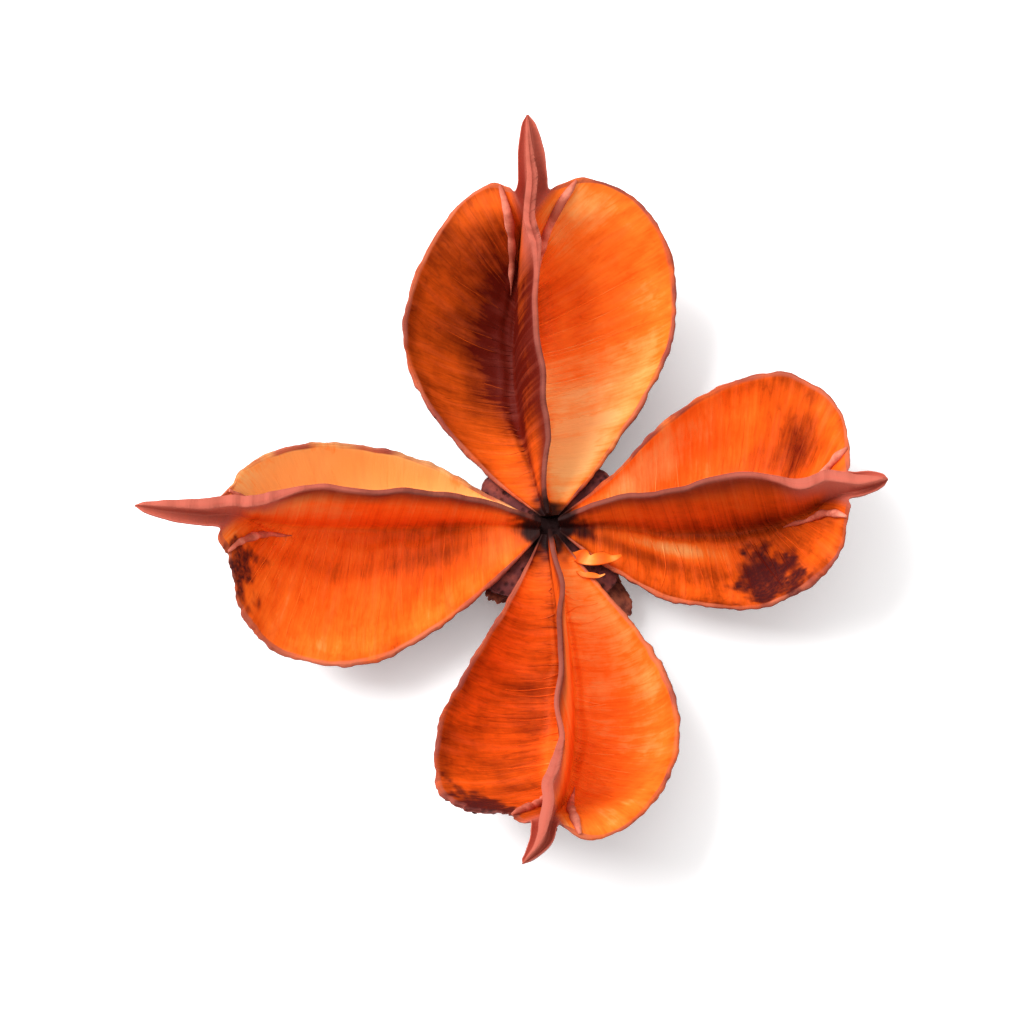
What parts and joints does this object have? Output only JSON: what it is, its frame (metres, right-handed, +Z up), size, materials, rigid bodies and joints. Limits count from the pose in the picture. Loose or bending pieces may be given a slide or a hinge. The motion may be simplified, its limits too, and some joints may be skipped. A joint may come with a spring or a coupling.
{
  "type": "dried cotton boll",
  "caption": "Open, empty cotton husk: rounded two-lobed valves with a standing septum and beak, a torn calyx and a stub of stalk.",
  "frame": {"origin": "on the surface that the boll rests on, below the middle of its bounding box", "axes": "+Z up out of the open side, +Y along the broadest valve, +X along the shortest valve"},
  "size_m": [0.0614, 0.0648, 0.0153],
  "materials": {
    "capsule": "dry woody husk, satin orange inside and rough maroon outside",
    "calyx": "dry, crumpled and papery, brick red",
    "stalk": "dry ribbed bark, dull brown"
  },
  "bodies": {
    "root": {"capsule": "capsule", "calyx": "calyx", "stalk": "stalk"}
  },
  "joints": []
}
